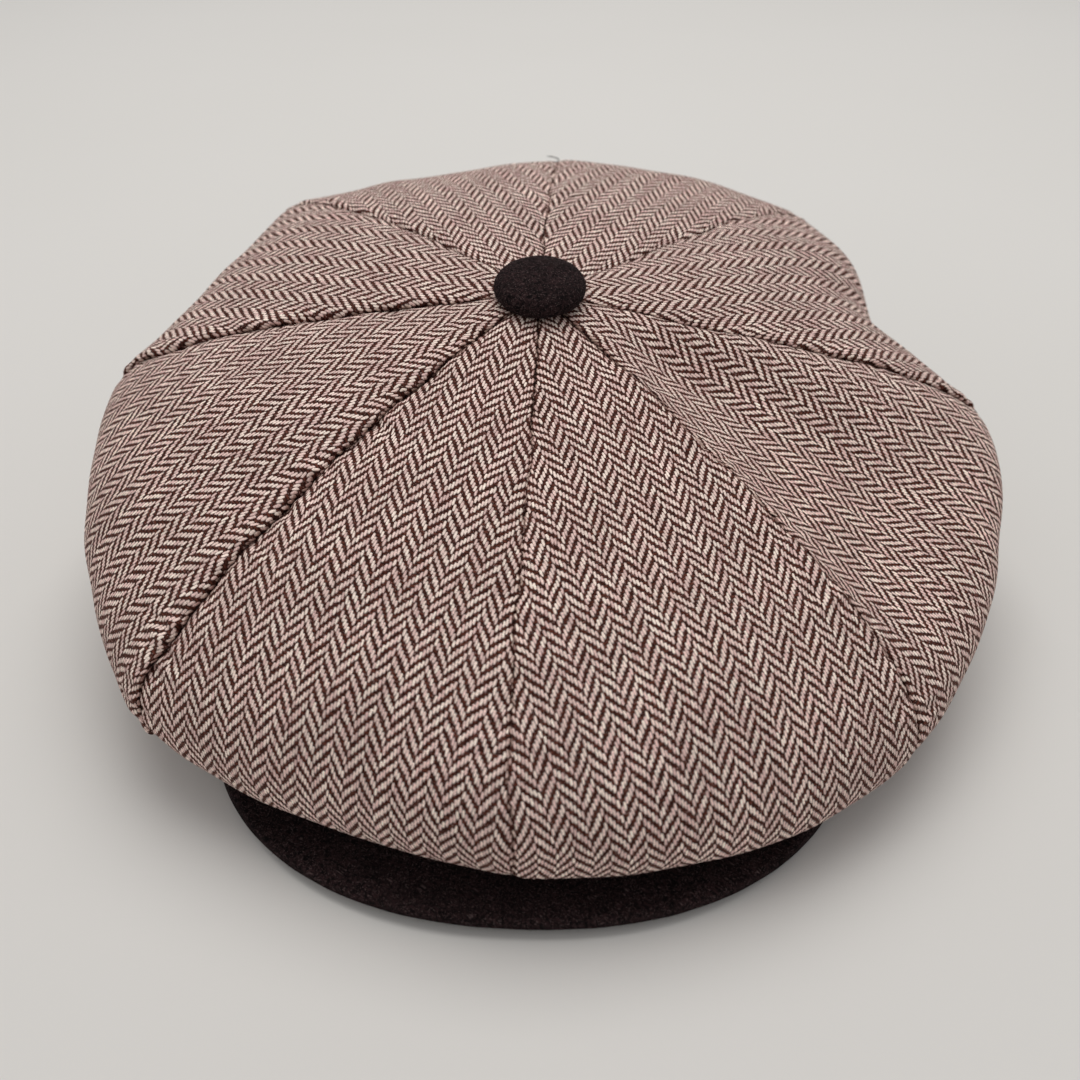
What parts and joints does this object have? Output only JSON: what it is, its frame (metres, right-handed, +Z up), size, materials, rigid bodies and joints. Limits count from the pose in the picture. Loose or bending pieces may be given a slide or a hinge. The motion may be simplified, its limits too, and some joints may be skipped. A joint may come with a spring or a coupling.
{
  "type": "newsboy cap",
  "caption": "Newsboy cap: a full gored herringbone crown slumps over a short stiff peak, with a cloth-covered button on top and a lined band for the head.",
  "frame": {"origin": "middle of the cap's outline seen from above, on the plane it rests on; the centre of the head opening is 3.0 mm to -X and 2.8 mm to -Y of it", "axes": "+Z up, square to the resting plane; -Y to the front, where the peak is; -X is the wearer's right"},
  "size_m": [0.294, 0.3024, 0.1103],
  "materials": {
    "tweed": "brown and cream herringbone wool tweed, napped and matte",
    "dark_wool": "dark brown felted wool, matte",
    "lining_cloth": "smooth brown lining twill with a soft sheen",
    "sweatband_cloth": "ribbed cotton tape, matte",
    "band_stiffener": "stiffened canvas, matte",
    "elastic": "woven elastic, matte",
    "label_cloth": "blank woven label, satin",
    "peak_board": "flexible sheet",
    "button_metal": "pressed steel"
  },
  "bodies": {
    "cap": {"crown_gore_front_left": "tweed", "crown_gore_side_front_left": "tweed", "crown_gore_side_back_left": "tweed", "crown_gore_back_left": "tweed", "crown_gore_back_right": "tweed", "crown_gore_side_back_right": "tweed", "crown_gore_side_front_right": "tweed", "crown_gore_front_right": "tweed", "outer_band": "tweed", "band_stiffener": "band_stiffener", "sweatband": "sweatband_cloth", "size_elastic": "elastic", "care_label": "label_cloth", "lining_label": "label_cloth", "lining_gore_front_left": "lining_cloth", "lining_gore_side_front_left": "lining_cloth", "lining_gore_side_back_left": "lining_cloth", "lining_gore_back_left": "lining_cloth", "lining_gore_back_right": "lining_cloth", "lining_gore_side_back_right": "lining_cloth", "lining_gore_side_front_right": "lining_cloth", "lining_gore_front_right": "lining_cloth"},
    "peak": {"peak_upper_cover": "dark_wool", "peak_board": "peak_board", "peak_under_cover": "dark_wool"},
    "button": {"button_cover": "dark_wool", "button_shell": "button_metal", "button_back_plate": "button_metal", "button_shank": "button_metal", "button_washer": "button_metal"}
  },
  "joints": [
    {"name": "peak_flex", "type": "hinge", "parent": "cap", "child": "peak", "pos_m": [-0.00575, -0.08273, 0.0046], "axis": [0.9994, -0.0349, 0], "range_deg": [-3, 10], "stiffness_Nm_per_rad": 0.3},
    {"name": "button_swivel", "type": "hinge", "parent": "cap", "child": "button", "pos_m": [-0.00296, 0.00422, 0.1044], "axis": [0, -0.1392, 0.9903], "range_deg": [-60, 60]}
  ]
}
